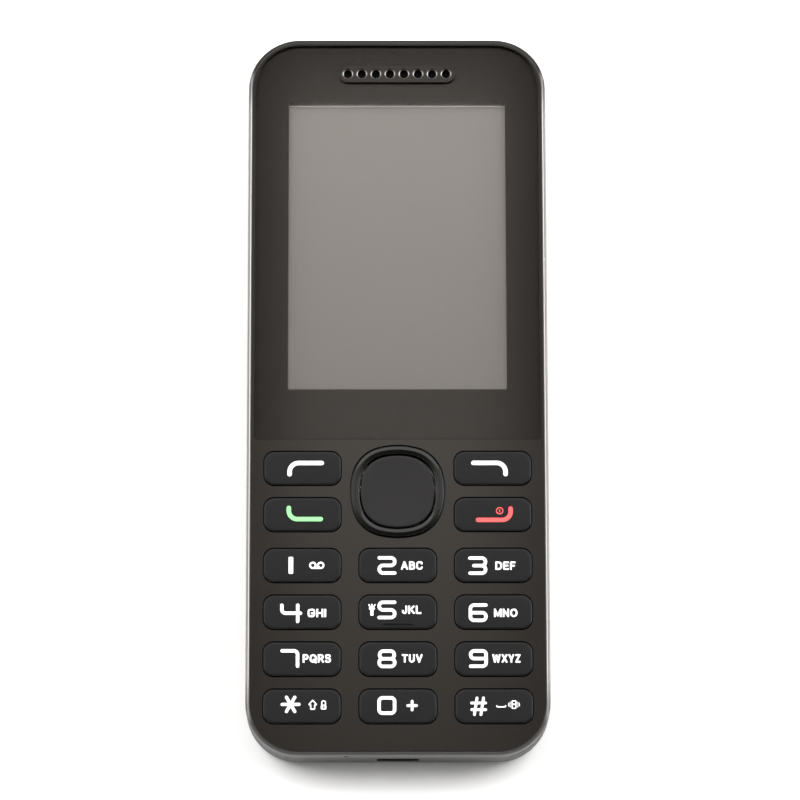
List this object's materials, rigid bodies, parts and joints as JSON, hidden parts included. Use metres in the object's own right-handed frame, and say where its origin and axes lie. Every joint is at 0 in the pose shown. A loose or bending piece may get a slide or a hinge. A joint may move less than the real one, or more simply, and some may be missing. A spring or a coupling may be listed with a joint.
{
  "type": "candybar phone",
  "caption": "Slim bar-shaped feature phone with a display window, navigation ring, keypad, removable rear cover and battery.",
  "frame": {"origin": "middle of the flat back face, the phone lying on its back", "axes": "+X to the right seen from the keypad side, +Y from the keypad towards the earpiece, +Z out of the front face"},
  "size_m": [0.0508, 0.124, 0.0113],
  "materials": {
    "front_black": "fine satin moulded polycarbonate",
    "band_grey": "satin dark grey lacquer",
    "lens_clear": "polished acrylic, hard coated",
    "print_black": "black ink behind the window",
    "tape": "thin foam tape",
    "mesh": "woven dust mesh",
    "grille_black": "satin insert",
    "silicone": "translucent white silicone",
    "film": "clear polyester film",
    "spring_steel": "bright sheet steel",
    "lamp_white": "lamp package",
    "frame_white": "white moulded frame",
    "lcd_grey": "liquid crystal panel, switched off",
    "flex_amber": "polyimide ribbon",
    "housing_black": "plain moulded plastic",
    "screw_black": "black zinc",
    "board_green": "solder mask",
    "can_steel": "tinned sheet steel",
    "socket_black": "glass filled nylon",
    "module_black": "black component body",
    "gold": "gold flash",
    "key_black": "matt black cap with printed legend",
    "ring_black": "glossy black ridge",
    "cover_black": "fine textured cover",
    "window_glass": "tinted camera window",
    "ring_metal": "turned ring",
    "torch_clear": "clear torch lens",
    "battery_grey": "shrink label, blank",
    "card_white": "plastic card",
    "card_black": "memory card body",
    "tungsten": "sintered weight"
  },
  "bodies": {
    "phone": {"front_housing": "front_black", "side_frame": "band_grey", "display_lens": "lens_clear", "lens_border_print": "print_black", "lens_adhesive": "tape", "earpiece_mesh": "mesh", "earpiece_grille": "grille_black", "keypad_mat": "silicone", "dome_film": "film", "snap_domes": "spring_steel", "keypad_leds": "lamp_white", "lcd_backlight_frame": "frame_white", "lcd_panel": "lcd_grey", "lcd_flex": "flex_amber", "middle_housing": "housing_black", "housing_screws": "screw_black", "battery_connector": "socket_black", "sim_holder": "can_steel", "memory_card_slot": "can_steel", "main_board": "board_green", "shield_cans": "can_steel", "micro_usb_socket": "can_steel", "headphone_jack": "socket_black", "microphone": "module_black", "loudspeaker_mesh": "mesh", "loudspeaker": "module_black", "earpiece_receiver": "module_black", "camera_module": "module_black", "torch_led": "lamp_white", "antenna_element": "gold", "vibration_motor": "can_steel"},
    "soft_key_left": {"soft_key_left": "key_black"},
    "soft_key_right": {"soft_key_right": "key_black"},
    "send_key": {"send_key": "key_black"},
    "end_key": {"end_key": "key_black"},
    "key_1": {"key_1": "key_black"},
    "key_2": {"key_2": "key_black"},
    "key_3": {"key_3": "key_black"},
    "key_4": {"key_4": "key_black"},
    "key_5": {"key_5": "key_black"},
    "key_6": {"key_6": "key_black"},
    "key_7": {"key_7": "key_black"},
    "key_8": {"key_8": "key_black"},
    "key_9": {"key_9": "key_black"},
    "key_star": {"key_star": "key_black"},
    "key_0": {"key_0": "key_black"},
    "key_hash": {"key_hash": "key_black"},
    "ok_key": {"ok_key": "key_black"},
    "nav_pad": {"nav_ring_pad": "silicone"},
    "nav_ring": {"nav_ring": "ring_black"},
    "rear_cover": {"rear_cover": "cover_black", "camera_window": "window_glass", "camera_ring": "ring_metal", "torch_lens": "torch_clear"},
    "battery": {"battery": "battery_grey", "battery_terminals": "gold"},
    "sim_card": {"sim_card": "card_white"},
    "memory_card": {"memory_card": "card_black"},
    "motor_weight": {"eccentric_weight": "tungsten"}
  },
  "joints": [
    {"name": "soft_key_left_press", "type": "slide", "parent": "phone", "child": "soft_key_left", "axis": [0, 0, -1], "range_m": [0, 0.00025], "stiffness_N_per_m": 4000},
    {"name": "soft_key_right_press", "type": "slide", "parent": "phone", "child": "soft_key_right", "axis": [0, 0, -1], "range_m": [0, 0.00025], "stiffness_N_per_m": 4000},
    {"name": "send_key_press", "type": "slide", "parent": "phone", "child": "send_key", "axis": [0, 0, -1], "range_m": [0, 0.00025], "stiffness_N_per_m": 4000},
    {"name": "end_key_press", "type": "slide", "parent": "phone", "child": "end_key", "axis": [0, 0, -1], "range_m": [0, 0.00025], "stiffness_N_per_m": 4000},
    {"name": "key_1_press", "type": "slide", "parent": "phone", "child": "key_1", "axis": [0, 0, -1], "range_m": [0, 0.00025], "stiffness_N_per_m": 4000},
    {"name": "key_2_press", "type": "slide", "parent": "phone", "child": "key_2", "axis": [0, 0, -1], "range_m": [0, 0.00025], "stiffness_N_per_m": 4000},
    {"name": "key_3_press", "type": "slide", "parent": "phone", "child": "key_3", "axis": [0, 0, -1], "range_m": [0, 0.00025], "stiffness_N_per_m": 4000},
    {"name": "key_4_press", "type": "slide", "parent": "phone", "child": "key_4", "axis": [0, 0, -1], "range_m": [0, 0.00025], "stiffness_N_per_m": 4000},
    {"name": "key_5_press", "type": "slide", "parent": "phone", "child": "key_5", "axis": [0, 0, -1], "range_m": [0, 0.00025], "stiffness_N_per_m": 4000},
    {"name": "key_6_press", "type": "slide", "parent": "phone", "child": "key_6", "axis": [0, 0, -1], "range_m": [0, 0.00025], "stiffness_N_per_m": 4000},
    {"name": "key_7_press", "type": "slide", "parent": "phone", "child": "key_7", "axis": [0, 0, -1], "range_m": [0, 0.00025], "stiffness_N_per_m": 4000},
    {"name": "key_8_press", "type": "slide", "parent": "phone", "child": "key_8", "axis": [0, 0, -1], "range_m": [0, 0.00025], "stiffness_N_per_m": 4000},
    {"name": "key_9_press", "type": "slide", "parent": "phone", "child": "key_9", "axis": [0, 0, -1], "range_m": [0, 0.00025], "stiffness_N_per_m": 4000},
    {"name": "key_star_press", "type": "slide", "parent": "phone", "child": "key_star", "axis": [0, 0, -1], "range_m": [0, 0.00025], "stiffness_N_per_m": 4000},
    {"name": "key_0_press", "type": "slide", "parent": "phone", "child": "key_0", "axis": [0, 0, -1], "range_m": [0, 0.00025], "stiffness_N_per_m": 4000},
    {"name": "key_hash_press", "type": "slide", "parent": "phone", "child": "key_hash", "axis": [0, 0, -1], "range_m": [0, 0.00025], "stiffness_N_per_m": 4000},
    {"name": "ok_key_press", "type": "slide", "parent": "phone", "child": "ok_key", "axis": [0, 0, -1], "range_m": [0, 0.00025], "stiffness_N_per_m": 4000},
    {"name": "nav_tilt_up_down", "type": "hinge", "parent": "phone", "child": "nav_pad", "pos_m": [0, -0.01744, 0.0095], "axis": [1, 0, 0], "range_deg": [-1.4, 1.4], "stiffness_Nm_per_rad": 0.4},
    {"name": "nav_tilt_left_right", "type": "hinge", "parent": "nav_pad", "child": "nav_ring", "pos_m": [0, -0.01744, 0.0095], "axis": [0, 1, 0], "range_deg": [-1.4, 1.4], "stiffness_Nm_per_rad": 0.4},
    {"name": "rear_cover_lift_off", "type": "slide", "parent": "phone", "child": "rear_cover", "axis": [0, 0, -1], "range_m": [0, 0.012]},
    {"name": "battery_lift_out", "type": "slide", "parent": "phone", "child": "battery", "axis": [0, 0, -1], "range_m": [0, 0.006]},
    {"name": "sim_card_slide", "type": "slide", "parent": "phone", "child": "sim_card", "axis": [0, -1, 0], "range_m": [0, 0.012]},
    {"name": "memory_card_slide", "type": "slide", "parent": "phone", "child": "memory_card", "axis": [0, -1, 0], "range_m": [0, 0.01]},
    {"name": "motor_weight_spin", "type": "hinge", "parent": "phone", "child": "motor_weight", "pos_m": [-0.0099, -0.05, 0.0042], "axis": [1, 0, 0], "continuous": true}
  ],
  "couplings": [
    {"joint": "battery_lift_out", "follows": "rear_cover_lift_off", "ratio": 0.5}
  ]
}
